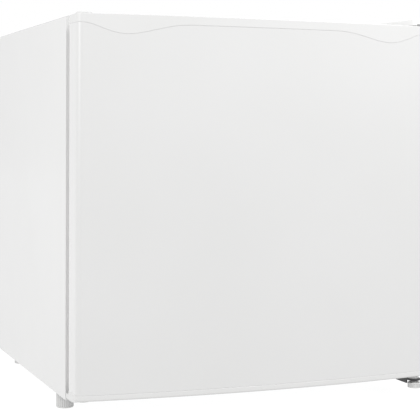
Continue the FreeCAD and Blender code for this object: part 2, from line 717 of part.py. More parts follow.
def make_gasket():
    """Magnetic seal: a base, bellows walls and a chamber that holds the magnet strips."""
    body = new_body("door_gasket")
    levels = ("door_back", "door_back+2.4", "door_back+7", "door_back+8.2", "door_back+12", "door_back+13.2")
    layers = [("base", 0, 18, 0, 1), ("bellows_out", 2, 1.6, 1, 2), ("bellows_in", 13.4, 1.6, 1, 2),
              ("chamber_floor", 1.5, 14, 2, 3), ("chamber_out", 1.5, 1.4, 3, 4),
              ("chamber_in", 14.1, 1.4, 3, 4), ("face", 1.5, 14, 4, 5)]
    for name, inset, width, low, high in layers:
        loops = frame("seal_half-%s" % inset, ("seal_low+%s" % inset, "seal_high-%s" % inset), str(width))
        start = levels[low] + ("" if low == 0 else "-0.02")
        slab(body, "seal_" + name, "y", loops, start, levels[high])
    strips = new_body("gasket_magnets")
    edge = 3.4
    for side in (-1, 1):
        x0, x1 = sorted((side * (number("seal_half") - edge), side * (number("seal_half") - edge - 10)))
        slab(strips, "upright_%d" % (side + 2), "y",
             [box(str(x0), "seal_low+20", str(x1), "seal_high-20")], "door_back+8.5", "door_back+11.6")
    for name, low in (("low", "seal_low+3.4"), ("high", "seal_high-13.4")):
        slab(strips, "level_" + name, "y", [middle("seal_half-20", (low, low + "+10"))],
             "door_back+8.5", "door_back+11.6")


def make_door_fittings():
    """Bushes for the two pins, and plugs in the spare holes on the other side."""
    bushes = new_body("hinge_bushes")
    hole = ("pin_x", "pin_y", "pin_radius+pin_gap")
    ends = (("low", "door_low-0.9", "door_low", "door_low+bush_long"),
            ("high", "door_high+0.25", "door_high", "door_high-bush_long"))
    for name, rim, face, inner in ends:
        rim_ends = sorted((rim, face), key=number)
        sleeve_ends = sorted((face, inner), key=number)
        slab(bushes, name + "_rim", "z", [("pin_x", "pin_y", "7.5"), hole], *rim_ends)
        slab(bushes, name + "_sleeve", "z", [("pin_x", "pin_y", "bush_radius"), hole], *sleeve_ends)
    plugs = new_body("door_hole_plugs")
    place(plugs, "-pin_x", "pin_y")
    spin(plugs, "top_plug", [("0", "door_high-4"), ("3.9", "door_high-4"), ("3.9", "door_high"),
                             ("10", "door_high"), ("10", "door_high+0.8"), ("8", "door_high+2.2"),
                             ("4", "door_high+2.9"), ("0", "door_high+3")])
    spin(plugs, "low_plug", [("0", "door_low+4"), ("3.9", "door_low+4"), ("3.9", "door_low"),
                             ("8", "door_low"), ("7", "door_low-1.2"), ("0", "door_low-1.5")])


def make_rack(name, low, high, front):
    """Door rack: a tray with a low front, ears that hang on the liner's lugs, and a rail."""
    body = new_body(name)
    slab(body, "tub", "z", [box("-rack_half", "rack_rear", "rack_half", front)], low, high)
    inside = box("-rack_half+rack_wall", "rack_rear+rack_wall", "rack_half-rack_wall", front + "-rack_wall")
    slab(body, "tub_inside", "z", [inside], low + "+rack_wall", high + "+1", cut=True)
    soften(body, "tub_inside_corners", "8", lambda edge: upright(edge)
           and abs(edge.CenterOfMass.y - number(front + "-rack_wall")) < 0.1)
    soften(body, "tub_corners", "10", lambda edge: upright(edge)
           and edge.CenterOfMass.y > number(front + "-0.1"))
    soften(body, "tub_floor_edge", "1.8", lambda edge: edge.BoundBox.ZMax < number(low + "+0.1")
           and edge.BoundBox.YMax > number(front + "-30"))
    slab(body, "low_front", "y", [middle("rack_half-26", ("(%s)-22" % high, "(%s)+1" % high))],
         front + "-rack_wall-3", front + "+1", cut=True)
    lug_top = {"upper_rack_tray": "upper_rack+38", "lower_rack_tray": "lower_rack+58"}[name]
    for side in (-1, 1):
        ends = ("rack_half-0.5", "well_half-0.5") if side > 0 else ("-well_half+0.5", "-rack_half+0.5")
        slab(body, "ear_%d" % (side + 2), "x",
             [box("door_back+4.5", lug_top + "+0.3", "door_back+13.5", lug_top + "+9")], *ends)
    rail = new_body(name.replace("tray", "rail"))
    slab(rail, "bar", "x", [(front + "-rack_wall/2", high + "-7", "rail_radius")],
         "-rack_half+26", "rack_half-26")


# ---------------------------------------------------------------- inside the cabinet

def make_ice_box():
    """Roll-bonded aluminium evaporator bent into a box, its front frame and its flap."""
    body = new_body("evaporator")
    slab(body, "wrap", "y", [middle("ice_half", ("ice_low", "ice_high"))], "ice_front", "ice_rear")
    slab(body, "cavity", "y", [middle("ice_half-ice_wall", ("ice_low+ice_wall", "ice_high-ice_wall"))],
         "ice_front-1", "ice_rear-ice_wall", cut=True)
    soften(body, "cavity_corners", "8.4", lambda edge: runs_along(edge, "y")
           and abs(abs(edge.CenterOfMass.x) - number("ice_half-ice_wall")) < 0.1)
    soften(body, "wrap_corners", "10", lambda edge: runs_along(edge, "y")
           and abs(abs(edge.CenterOfMass.x) - number("ice_half")) < 0.1)
    lanes = [box("-170", "ice_front+16+24*%d" % lane, "170", "ice_front+22+24*%d" % lane)
             for lane in range(7)]
    slab(body, "channels", "z", lanes, "ice_low-1.6", "ice_low+0.1")
    turns = [box("%d" % (164 if lane % 2 else -170), "ice_front+21+24*%d" % lane,
                 "%d" % (170 if lane % 2 else -164), "ice_front+41+24*%d" % lane) for lane in range(6)]
    slab(body, "channel_turns", "z", turns, "ice_low-1.6", "ice_low+0.1")

    clips = new_body("evaporator_clips")
    for index, (x, y) in enumerate((("-150", "-30"), ("150", "-30"), ("-150", "110"), ("150", "110"))):
        slab(clips, "clip_%d" % index, "z", [box(x + "-9", y + "-9", x + "+9", y + "+9")],
             "ice_high", "in_high")

    front = new_body("ice_box_frame")
    slab(front, "ring", "y", [middle("ice_half+3", ("ice_low-4", "in_high-0.6")),
                              middle("ice_half-6", ("ice_low+5", "in_high-13"))],
         "ice_front-6", "ice_front")
    for side in (-1, 1):
        ends = ("185.5", "189") if side > 0 else ("-189", "-185.5")
        slab(front, "lug_%d" % (side + 2), "x", [box("flap_y-5", "flap_z-7", "ice_front-5.9", "flap_z+7")],
             *ends)
        bore = ("flap_y", "flap_z", "flap_pin+0.08")
        slab(front, "lug_bore_%d" % (side + 2), "x", [bore], *ends, cut=True)

    flap = new_body("ice_box_flap")
    slab(flap, "leaf", "x", [box("flap_y-2", "ice_low+6", "flap_y+2", "flap_z+2.5")], "-flap_half",
         "flap_half")
    soften(flap, "leaf_corners", "8", lambda edge: runs_along(edge, "y")
           and edge.CenterOfMass.z < number("ice_low+7"))
    slab(flap, "barrel", "x", [("flap_y", "flap_z", "3")], "-flap_half", "flap_half")
    slab(flap, "left_pin", "x", [("flap_y", "flap_z", "flap_pin")], "-188.8", "-flap_half+0.1")
    slab(flap, "right_pin", "x", [("flap_y", "flap_z", "flap_pin")], "flap_half-0.1", "188.8")
    slab(flap, "pull", "z", [box("-34", "flap_y-9", "34", "flap_y-1.9")], "ice_low+9", "ice_low+12")
    slab(flap, "panel_recess", "y", [middle("flap_half-14", ("ice_low+22", "flap_z-12"))],
         "flap_y-3", "flap_y-1.2", cut=True)


def make_thermostat():
    """Housing on the right wall, the switch in it, and a dial on the switch's shaft."""
    body = new_body("thermostat_housing")
    case = box("dial_y-45", "dial_z-26", "dial_y+45", "dial_z+26")
    slab(body, "case", "x", [case], "dial_face", "in_half")
    soften(body, "case_edges", "5", lambda edge: edge.BoundBox.XMax < number("dial_face+0.1"))
    slab(body, "case_inside", "x", [box("dial_y-43", "dial_z-24", "dial_y+43", "dial_z+24")],
         "dial_face+5.2", "in_half+1", cut=True)
    slab(body, "shaft_hole", "x", [("dial_y", "dial_z", "4.6")], "dial_face-1", "dial_face+6", cut=True)
    slab(body, "tube_hole", "y", [("178", "dial_z+13", "capillary_radius+0.2")], "dial_y+40", "dial_y+46",
         cut=True)
    slots = [box("dial_y+24", "dial_z-17+8*%d" % index, "dial_y+38", "dial_z-14+8*%d" % index)
             for index in range(5)]
    slab(body, "air_slots", "x", slots, "dial_face-1", "dial_face+6", cut=True)

    switch = new_body("thermostat_switch")
    slab(switch, "can", "x", [box("dial_y-20", "dial_z-17", "dial_y+20", "dial_z+17")], "dial_face+8",
         "dial_face+30")
    slab(switch, "shaft", "x", [("dial_y", "dial_z", "shaft_radius")], "dial_face-9", "dial_face+8.1")

    dial = new_body("thermostat_dial")
    slab(dial, "rim", "x", [("dial_y", "dial_z", "dial_radius")], "dial_face-6", "dial_face-0.8")
    slab(dial, "grip", "x", [("dial_y", "dial_z", "dial_radius-5")], "dial_face-15", "dial_face-5.9")
    soften(dial, "grip_edge", "1.5", lambda edge: edge.BoundBox.XMax < number("dial_face-14.9"))
    slab(dial, "shaft_bore", "x", [("dial_y", "dial_z", "shaft_radius+0.06")], "dial_face-10", "dial_face",
         cut=True)
    slab(dial, "pointer", "x", [box("dial_y-0.8", "dial_z+4", "dial_y+0.8", "dial_z+dial_radius-6")],
         "dial_face-15.6", "dial_face-14.9")
    tube_x, tube_z = 178, number("dial_z") + 13
    behind = number("ice_rear") + 1.2
    points = [(tube_x, number("dial_y") + 20, tube_z), (tube_x, behind, tube_z), (tube_x, behind, 390)]
    solid_node("sensing_tube", tube_shape(points, number("capillary_radius"), 6))


def make_shelf():
    """Coated wire shelf: a closed rim with bars from front to back."""
    half, rod = number("shelf_half"), number("shelf_rod")
    front, rear = number("shelf_front"), number("shelf_rear")
    level = number("shelf_ledge") + 0.4 + rod
    side = half - rod
    near = front + rod
    far = rear - rod
    points = [(0, near, level), (side, near, level), (side, far, level), (-side, far, level),
              (-side, near, level), (0, near, level)]
    solid_node("shelf_rim", tube_shape(points, rod, 10))
    wire = number("shelf_wire")
    rows = []
    step = 2 * (side - 10) / (SHELF_WIRES - 1)
    for index in range(SHELF_WIRES):
        x = -side + 10 + index * step
        rows.append(cylinder((x, near, level + rod + wire * 0.9), (0, 1, 0), wire, far - near))
    for y in (near + 70, near + 150):
        rows.append(cylinder((-side, y, level - 0.1), (1, 0, 0), wire + 0.6, 2 * side))
    solid_node("shelf_wires", Part.makeCompound(rows))


def make_drip_tray():
    """Shallow tray under the ice box. Its rim rides on the upper ledges."""
    body = new_body("drip_tray")
    slab(body, "tub", "z", [box("-tray_half", "tray_front", "tray_half", "tray_rear")],
         "tray_low", "tray_ledge+2.3")
    slab(body, "rim", "z", [box("-tray_half-8", "tray_front", "tray_half+8", "tray_rear")],
         "tray_ledge+0.3", "tray_ledge+2.3")
    slab(body, "basin", "z", [box("-tray_half+2", "tray_front+2", "tray_half-2", "tray_rear-2")],
         "tray_low+2", "tray_ledge+3", cut=True)
    slab(body, "front_wall", "y", [middle("tray_half-2", ("tray_low", "tray_ledge+12"))],
         "tray_front-2", "tray_front+0.1")
    soften(body, "front_corners", "6", lambda edge: runs_along(edge, "y")
           and edge.CenterOfMass.y < number("tray_front"))
    slab(body, "pull", "z", [box("-30", "tray_front-9", "30", "tray_front-1.9")],
         "tray_ledge+8", "tray_ledge+11")


# ---------------------------------------------------------------- cooling circuit

def make_compressor():
    """Sealed compressor on four rubber grommets."""
    body = new_body("compressor_shell")
    place(body, "pump_x", "pump_y")
    spin(body, "can", [("0", "pump_low"), ("pump_radius-22", "pump_low"), ("pump_radius-8", "pump_low+8"),
                       ("pump_radius-2", "pump_low+24"), ("pump_radius-2", "pump_low+62"),
                       ("pump_radius", "pump_low+64"), ("pump_radius", "pump_low+70"),
                       ("pump_radius-2", "pump_low+72"), ("pump_radius-3", "pump_high-22"),
                       ("pump_radius-12", "pump_high-8"), ("pump_radius-30", "pump_high"),
                       ("0", "pump_high")])
    corners = [("%d*66" % sx, "%d*42" % sy) for sx in (-1, 1) for sy in (-1, 1)]
    feet = new_body("compressor_feet")
    place(feet, "pump_x", "pump_y")
    slab(feet, "plate", "z", [box("-76", "-52", "76", "52")], "pump_low-4", "pump_low-0.02")
    soften(feet, "plate_corners", "9", upright)
    slab(feet, "plate_holes", "z", [(x, y, "6") for x, y in corners], "pump_low-5", "pump_low+1", cut=True)
    grommets = new_body("compressor_grommets")
    bolts = new_body("compressor_bolts")
    for piece in (grommets, bolts):
        place(piece, "pump_x", "pump_y")
    for index, (x, y) in enumerate(corners):
        hole = (x, y, "3.2")
        slab(grommets, "base_%d" % index, "z", [(x, y, "10"), hole], "cab_low+1.5", "pump_low-4")
        slab(grommets, "neck_%d" % index, "z", [(x, y, "6"), hole], "pump_low-4.02", "pump_low+0.02")
        slab(grommets, "cap_%d" % index, "z", [(x, y, "8"), hole], "pump_low", "pump_low+5")
        slab(bolts, "shank_%d" % index, "z", [(x, y, "3")], "cab_low+1.5", "pump_low+10")
        slab(bolts, "head_%d" % index, "z", [(x, y, "6")], "pump_low+5.02", "pump_low+9")

    cover = new_body("terminal_cover")
    place(cover, "pump_x", "pump_y")
    slab(cover, "box", "z", [box("-92", "-26", "-pump_radius-0.5", "26")], "pump_low+12", "pump_low+62")
    soften(cover, "box_edges", "4", lambda edge: upright(edge) and edge.CenterOfMass.x < -80)
    slab(cover, "box_inside", "z", [box("-90", "-24", "-pump_radius+1", "24")], "pump_low+14",
         "pump_low+60", cut=True)
    relay = new_body("start_relay")
    place(relay, "pump_x", "pump_y")
    slab(relay, "block", "z", [box("-84", "-18", "-pump_radius-2", "18")], "pump_low+20", "pump_low+52")

    inlet = new_body("cord_inlet")
    slab(inlet, "rim", "y", [("-120", "60", "11"), ("-120", "60", "4")], "bay_front", "bay_front+3")
    slab(inlet, "boss", "y", [("-120", "60", "8"), ("-120", "60", "4")], "bay_front+2.9", "bay_front+14")


def make_condenser():
    """Snaking tube with upright wires on both faces, held off the rear panel by clips."""
    half = number("coil_half")
    pitch = number("coil_pitch")
    y = number("coil_y")
    base = number("coil_low")
    points = [(-half, y, base - 50)]
    for level in range(COIL_PASSES):
        z = base + level * pitch
        ends = (-half, half) if level % 2 == 0 else (half, -half)
        points += [(ends[0], y, z), (ends[1], y, z)]
    solid_node("condenser_tube", tube_shape(points, number("coil_tube"), 12))
    wire = number("coil_wire")
    gap = number("coil_tube") + wire * 0.98
    top = base + (COIL_PASSES - 1) * pitch + 8
    spread = half - 20
    wires = []
    for index in range(COIL_WIRES):
        x = -spread + 2 * spread * index / (COIL_WIRES - 1)
        for side in (-1, 1):
            wires.append(cylinder((x, y + side * gap, base - 8), (0, 0, 1), wire, top - base + 8))
    solid_node("condenser_wires", Part.makeCompound(wires))

    clips = new_body("condenser_clips")
    screws = new_body("condenser_screws")
    for index, (side, passes) in enumerate(((-1, 1.5), (-1, 7.5), (1, 0.5), (1, 6.5))):
        z = "coil_low+%s*coil_pitch" % passes
        ends = ("coil_half-5", "coil_half+15") if side > 0 else ("-coil_half-15", "-coil_half+5")
        screw = ("%d*(coil_half+10)" % side, z)
        slab(clips, "clip_%d" % index, "y", [box(ends[0], z + "-3.8", ends[1], z + "+3.8")],
             "cab_rear", "wrap_rear")
        slab(clips, "grip_%d" % index, "z", [("%d*coil_half" % side, "coil_y", "coil_tube")],
             z + "-5", z + "+5", cut=True)
        slab(clips, "screw_way_%d" % index, "y", [screw + ("1.8",)], "cab_rear-1", "wrap_rear", cut=True)
        slab(clips, "screw_sink_%d" % index, "y", [screw + ("3.2",)], "wrap_rear-6", "wrap_rear+1", cut=True)
        slab(screws, "shank_%d" % index, "y", [screw + ("1.75",)], "cab_rear", "wrap_rear-5.9")
        slab(screws, "head_%d" % index, "y", [screw + ("3",)], "wrap_rear-6", "wrap_rear-3.6")


def make_pipes():
    """Pipes between the compressor, the condenser, the drier and the ice box."""
    pipe_x, pipe_y, pipe_z = number("pipe_x"), number("pipe_y"), number("pipe_z")
    pump = Vector(number("pump_x"), number("pump_y"), 0)
    suction = [(pump.x - 30, pump.y + 48, 118), (pump.x - 60, pump.y + 58, 118), (pipe_x, pipe_y - 4, 118),
               (pipe_x, pipe_y - 4, pipe_z), (pipe_x, number("ice_rear") + 0.2, pipe_z)]
    solid_node("suction_pipe", tube_shape(suction, number("suction_radius"), 9))
    coil_x, coil_y = number("coil_half"), number("coil_y")
    drier_y = 150
    can = cylinder((-coil_x, drier_y, 60), (0, 0, 1), 8, 70)
    rims = [edge for edge in can.Edges if edge.Curve.TypeId == "Part::GeomCircle"]
    solid_node("filter_drier", can.makeFillet(4, rims))
    capillary = [(-coil_x, drier_y, 130.2), (-coil_x, drier_y, 146), (pipe_x - 7, pipe_y - 4, 146),
                 (pipe_x - 7, pipe_y - 4, pipe_z), (pipe_x - 7, number("ice_rear") + 0.2, pipe_z)]
    solid_node("capillary_tube", tube_shape(capillary, number("capillary_radius"), 5))
    top = number("coil_low") + (COIL_PASSES - 1) * number("coil_pitch")
    discharge = [(pump.x + 45.5, pump.y + 32.5, 112), (pump.x + 80, pump.y + 50, 112), (204, 178, 112),
                 (204, coil_y, 112), (204, coil_y, top), (coil_x + 0.2, coil_y, top)]
    solid_node("discharge_pipe", tube_shape(discharge, number("coil_tube"), 8))
    link = [(-coil_x, drier_y, 59.8), (-coil_x, drier_y, 44), (-coil_x, coil_y, 44),
            (-coil_x, coil_y, number("coil_low") - 50.2)]
    solid_node("drier_pipe", tube_shape(link, 2.0, 7))


# ---------------------------------------------------------------- build and write

make_outer_shell()
make_rear_panel()
make_base_plate()
make_inner_liner()
make_cabinet_foam()
make_feet()
make_lower_hinge()
make_top_hinge()
make_door_skin()
make_door_foam()
make_door_liner()
make_gasket()
make_door_fittings()
make_rack("upper_rack_tray", "upper_rack", "upper_rack+58", "rack_front")
make_rack("lower_rack_tray", "lower_rack", "lower_rack+106", "rack_front")
make_ice_box()
make_thermostat()
make_shelf()
make_drip_tray()
make_compressor()
make_condenser()
make_pipes()
doc.recompute()

faults = []
for item in doc.Objects:
    if "Invalid" in item.State or "Error" in item.State:
        faults.append("%s: %s" % (item.Name, item.State))
for node, item in NODES.items():
    item.Label = node
    if item.Shape.isNull() or not item.Shape.isValid():
        faults.append("%s: bad shape" % node)
if faults:
    raise RuntimeError("; ".join(faults))

rise = Vector(0, 0, number("stance"))
for node, item in NODES.items():
    raised = item.Shape.copy()
    raised.translate(rise)
    raised.exportStep("parts/%s.step" % node)
print("%d nodes written" % len(NODES))
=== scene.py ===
import json
import math

import bmesh
import bpy
from mathutils import Matrix, Vector


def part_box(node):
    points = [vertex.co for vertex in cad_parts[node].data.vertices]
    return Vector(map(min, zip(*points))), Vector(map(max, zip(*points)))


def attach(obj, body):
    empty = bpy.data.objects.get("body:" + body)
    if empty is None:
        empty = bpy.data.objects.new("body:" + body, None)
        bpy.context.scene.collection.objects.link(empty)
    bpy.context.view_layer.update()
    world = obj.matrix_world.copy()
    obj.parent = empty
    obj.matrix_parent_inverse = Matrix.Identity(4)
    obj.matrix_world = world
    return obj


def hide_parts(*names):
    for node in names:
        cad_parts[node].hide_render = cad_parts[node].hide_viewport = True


# A white table-top mini fridge on a pale floor, seen from the front left.
# Lengths are in metres unless a comment or a name says millimetres.

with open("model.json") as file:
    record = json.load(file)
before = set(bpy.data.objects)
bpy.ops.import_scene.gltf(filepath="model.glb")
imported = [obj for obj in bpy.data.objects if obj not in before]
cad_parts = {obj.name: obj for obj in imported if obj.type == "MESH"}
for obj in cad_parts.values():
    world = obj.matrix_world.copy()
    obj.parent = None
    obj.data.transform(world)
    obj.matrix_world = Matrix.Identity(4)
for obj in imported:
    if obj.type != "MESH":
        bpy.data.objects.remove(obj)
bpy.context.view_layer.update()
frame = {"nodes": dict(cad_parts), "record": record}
MM = 0.001


# ---------------------------------------------------------------- camera and light

CAMERA_PLACE = (-0.6260, -1.6287, 0.3511)
CAMERA_DEGREES = (21.449, 1.759, 0.331)
CAMERA_LENS = 107.14
CAMERA_SENSOR = 36.0
CAMERA_SHIFT = -0.1021

# Area lights: name, place, the point they face, width and height, and power in watts.
LIGHTS = [
    ("left_box", (-1.45, -0.72, 1.10), (-0.22, -0.18, 0.42), (0.5, 1.4), 11.5),
    ("right_box", (0.72, -0.92, 1.35), (0.05, -0.22, 0.50), (0.6, 0.6), 13.2),
]

FLOOR_REACH = 9.0
FLOOR_GLOW = 0.95
WHITE = (1.0, 1.0, 1.0, 1.0)


def make_camera():
    """A long lens at the height of the upper door, turned a little to the right."""
    heading, pitch, roll = (math.radians(angle) for angle in CAMERA_DEGREES)
    data = bpy.data.cameras.new("camera")
    data.lens = CAMERA_LENS
    data.sensor_width = CAMERA_SENSOR
    data.shift_y = CAMERA_SHIFT
    camera = bpy.data.objects.new("camera", data)
    bpy.context.scene.collection.objects.link(camera)
    camera.matrix_world = (Matrix.Translation(CAMERA_PLACE) @ Matrix.Rotation(-heading, 4, "Z")
                           @ Matrix.Rotation(math.radians(90) - pitch, 4, "X")
                           @ Matrix.Rotation(roll, 4, "Z"))
    bpy.context.scene.camera = camera


def make_light(name, place, target, size, power):
    """Rectangular light that faces its target and isn't seen by the camera."""
    data = bpy.data.lights.new(name, "AREA")
    data.shape = "RECTANGLE"
    data.size, data.size_y = size
    data.energy = power
    light = bpy.data.objects.new(name, data)
    bpy.context.scene.collection.objects.link(light)
    light.location = place
    light.rotation_euler = (Vector(target) - Vector(place)).to_track_quat("-Z", "Y").to_euler()
    light.visible_camera = False


def make_floor():
    """Pale paper lit through from below, so that only a faint shadow is left under the feet."""
    mesh = bpy.data.meshes.new("floor")
    reach = FLOOR_REACH
    corners = [(-reach, -reach, 0), (reach, -reach, 0), (reach, reach, 0), (-reach, reach, 0)]
    mesh.from_pydata([Vector(corner) for corner in corners], [], [(0, 1, 2, 3)])
    floor = bpy.data.objects.new("floor", mesh)
    bpy.context.scene.collection.objects.link(floor)
    mesh.materials.append(plain_material("floor_paper", (0.07, 0.07, 0.07), (0.06, 0.06, 0.06), 0.9,
                                         Emission_Color=WHITE, Emission_Strength=FLOOR_GLOW))


def make_surroundings():
    """White world, pale floor and the soft lights."""
    world = bpy.data.worlds.new("studio")
    bpy.context.scene.world = world
    world.use_nodes = True
    background = world.node_tree.nodes["Background"]
    background.inputs["Color"].default_value = WHITE
    background.inputs["Strength"].default_value = 1.0
    make_floor()
    for light in LIGHTS:
        make_light(*light)


# ---------------------------------------------------------------- materials

PATCH_DETAIL = 4.0
SMUDGE_DETAIL = 6.0
GRAIN_DETAIL = 2.0
DRIFT_ENDS = (0.35, 0.65)


class Surface:
    """A material in the making. It starts with a fine moulded or painted grain."""

    def __init__(self, name, metallic, grain, grain_depth, sockets):
        self.material = bpy.data.materials.new(name)
        self.material.use_nodes = True
        self.tree = self.material.node_tree
        self.shader = self.tree.nodes["Principled BSDF"]
        self.shader.inputs["Metallic"].default_value = metallic
        for socket, value in sockets.items():
            self.shader.inputs[socket.replace("_", " ")].default_value = value
        self.coordinates = self.tree.nodes.new("ShaderNodeTexCoord")
        bump = self.tree.nodes.new("ShaderNodeBump")
        bump.inputs["Strength"].default_value = 1.0
        bump.inputs["Distance"].default_value = grain_depth
        self.tree.links.new(self.noise(grain, GRAIN_DETAIL), bump.inputs["Height"])
        self.tree.links.new(bump.outputs["Normal"], self.shader.inputs["Normal"])

    def noise(self, scale, detail):
        """Value between 0 and 1 that drifts over the object."""
        texture = self.tree.nodes.new("ShaderNodeTexNoise")
        texture.inputs["Scale"].default_value = scale
        texture.inputs["Detail"].default_value = detail
        self.tree.links.new(self.coordinates.outputs["Object"], texture.inputs["Vector"])
        return texture.outputs["Fac"]

    def crystals(self, scale):
        """Two values between 0 and 1, each the same all over a crystal."""
        cells = self.tree.nodes.new("ShaderNodeTexVoronoi")
        cells.inputs["Scale"].default_value = scale
        self.tree.links.new(self.coordinates.outputs["Object"], cells.inputs["Vector"])
        parts = self.tree.nodes.new("ShaderNodeSeparateColor")
        self.tree.links.new(cells.outputs["Color"], parts.inputs["Color"])
        return parts.outputs["Red"], parts.outputs["Green"]

    def set_colour(self, value, dark, light, ends=(0.0, 1.0)):
        """Colour that runs from dark to light while the value runs between the ends."""
        ramp = self.tree.nodes.new("ShaderNodeValToRGB")
        for index, colour in enumerate((dark, light)):
            ramp.color_ramp.elements[index].position = ends[index]
            ramp.color_ramp.elements[index].color = (*colour, 1.0)
        self.tree.links.new(value, ramp.inputs["Fac"])
        self.tree.links.new(ramp.outputs["Color"], self.shader.inputs["Base Color"])

    def set_roughness(self, value, low, high):
        """Roughness that runs from low to high with the value."""
        span = self.tree.nodes.new("ShaderNodeMapRange")
        span.inputs["To Min"].default_value = low
        span.inputs["To Max"].default_value = high
        self.tree.links.new(value, span.inputs["Value"])
        self.tree.links.new(span.outputs["Result"], self.shader.inputs["Roughness"])


def plain_material(name, light, dark, rough, metallic=0.0, patch=7.0, rough_spread=0.06,
                   grain=900.0, grain_depth=20e-6, **sockets):
    """Surface whose colour and roughness drift a little from place to place."""
    surface = Surface(name, metallic, grain, grain_depth, sockets)
    surface.set_colour(surface.noise(patch, PATCH_DETAIL), dark, light, DRIFT_ENDS)
    surface.set_roughness(surface.noise(patch * 3, SMUDGE_DETAIL), rough - rough_spread,
                          rough + rough_spread)
    return surface.material


def spangled_material(name, light, dark, dull, glossy, cell):
    """Zinc-coated steel: crystals of slightly different grey, each with its own gloss."""
    surface = Surface(name, 1.0, 1200.0, 10e-6, {})
    tone, gloss = surface.crystals(cell)
    surface.set_colour(tone, dark, light)
    surface.set_roughness(gloss, glossy, dull)
    return surface.material


# Settings that several finishes share.
PAINTED = dict(patch=5.0, rough_spread=0.03, grain=420.0, grain_depth=12e-6)
MOULDED = dict(grain=1500.0, grain_depth=12e-6)
CLEAR = dict(patch=12.0, rough_spread=0.04, grain=260.0, grain_depth=30e-6, IOR=1.49)

# Light and dark tone, roughness, and what else differs from plain_material's own values.
# Patch and grain are noise scales, and a grain depth is in metres.
FINISHES = {
    "white_steel": dict(light=(0.584, 0.584, 0.582), dark=(0.574, 0.574, 0.571), rough=0.34,
                        Coat_Weight=0.35, Coat_Roughness=0.12, **PAINTED),
    # The door's finish is a little darker than white_steel: painted shade, so the door's sides and front
    # show darker than the cabinet's sides.
    "door_steel_painted_shade": dict(light=(0.560, 0.560, 0.558), dark=(0.550, 0.550, 0.547), rough=0.38,
                       Coat_Weight=0.8, Coat_Roughness=0.27, **PAINTED),
    "white_trim": dict(light=(0.570, 0.570, 0.567), dark=(0.560, 0.560, 0.556), rough=0.42,
                       Coat_Weight=0.4, Coat_Roughness=0.33, **MOULDED),
    # The hinge cover's finish is much lighter than the white paint: painted light that brightens the
    # cover's shaded sides.
    "cover_plastic_painted_light": dict(light=(0.77, 0.77, 0.765), dark=(0.75, 0.75, 0.745), rough=0.40,
                          Coat_Weight=0.15, Coat_Roughness=0.2, **MOULDED),
    "liner_plastic": dict(light=(0.83, 0.83, 0.822), dark=(0.81, 0.81, 0.80), rough=0.24, patch=4.0,
                          grain=70.0, grain_depth=80e-6, Coat_Weight=0.2, Coat_Roughness=0.08),
    "rack_plastic": dict(light=(0.80, 0.82, 0.825), dark=(0.77, 0.795, 0.80), rough=0.22,
                         grain=300.0, grain_depth=30e-6, Transmission_Weight=0.25, IOR=1.49),
    "clear_plastic": dict(light=(0.86, 0.93, 0.96), dark=(0.80, 0.90, 0.94), rough=0.16,
                          Transmission_Weight=0.8, **CLEAR),
    "frosted_plastic": dict(light=(0.74, 0.86, 0.93), dark=(0.68, 0.82, 0.90), rough=0.38,
                            Transmission_Weight=0.55, **CLEAR),
    "insulation": dict(light=(0.82, 0.72, 0.42), dark=(0.72, 0.60, 0.30), rough=0.85, patch=40.0,
                       grain=500.0, grain_depth=400e-6),
    "black_paint": dict(light=(0.030, 0.030, 0.032), dark=(0.016, 0.016, 0.017), rough=0.34,
                        patch=25.0, rough_spread=0.1, grain=500.0, grain_depth=30e-6),
    "copper": dict(light=(0.83, 0.42, 0.26), dark=(0.58, 0.27, 0.16), rough=0.30, metallic=1.0,
                   patch=60.0, rough_spread=0.12),
    "aluminium": dict(light=(0.80, 0.81, 0.82), dark=(0.70, 0.71, 0.73), rough=0.36, metallic=1.0,
                      patch=18.0, rough_spread=0.08, grain=1400.0),
    "zinc": dict(light=(0.66, 0.66, 0.64), dark=(0.50, 0.50, 0.50), rough=0.32, metallic=1.0,
                 patch=90.0, rough_spread=0.1),
    "chrome_wire": dict(light=(0.88, 0.89, 0.90), dark=(0.80, 0.81, 0.83), rough=0.10, metallic=1.0,
                        patch=50.0, rough_spread=0.05, grain_depth=5e-6),
    # The seal's finish is far lighter than the white paint: painted light that lifts the seal out of the
    # shade in the gap between door and cabinet.
    "seal_rubber": dict(light=(0.93, 0.93, 0.925), dark=(0.90, 0.90, 0.893), rough=0.5, patch=30.0,
                        grain=1200.0, grain_depth=30e-6),
    "magnet": dict(light=(0.07, 0.06, 0.06), dark=(0.04, 0.035, 0.035), rough=0.7),
    "black_rubber": dict(light=(0.028, 0.028, 0.028), dark=(0.016, 0.016, 0.016), rough=0.72,
                         patch=80.0, grain_depth=60e-6),
    "grey_plastic": dict(light=(0.55, 0.55, 0.545), dark=(0.49, 0.49, 0.485), rough=0.50,
                         patch=60.0, grain=1800.0, grain_depth=40e-6),
    "scale_grey": dict(light=(0.24, 0.27, 0.31), dark=(0.19, 0.22, 0.26), rough=0.5, patch=60.0,
                       grain=1800.0),
    "black_plastic": dict(light=(0.035, 0.035, 0.037), dark=(0.022, 0.022, 0.024), rough=0.48,
                          patch=40.0, grain=1500.0, grain_depth=50e-6),
    "coated_wire": dict(light=(0.80, 0.81, 0.81), dark=(0.75, 0.76, 0.765), rough=0.30, patch=30.0,
                        grain=200.0, grain_depth=40e-6, Coat_Weight=0.3, Coat_Roughness=0.15),
}

MATERIALS = {}


def make_materials():
    """One material for each finish, kept by name in MATERIALS."""
    for name, facts in FINISHES.items():
        MATERIALS[name] = plain_material(name, **facts)
    MATERIALS["galvanised"] = spangled_material(
        "galvanised", light=(0.62, 0.63, 0.65), dark=(0.46, 0.47, 0.49), dull=0.50, glossy=0.30,
        cell=140.0)


# ---------------------------------------------------------------- mesh helpers

SLOT_OF = {part["node"]: part["material_slot"] for part in frame["record"]["subparts"]}
SAME_POINT = 2e-6
SAME_PLANE = math.radians(0.6)
EDGE_ANGLE = math.radians(28.0)
EDGE_SEGMENTS = 2
EDGE_PROFILE = 0.6
LARGE_FACE_WEIGHT = 60


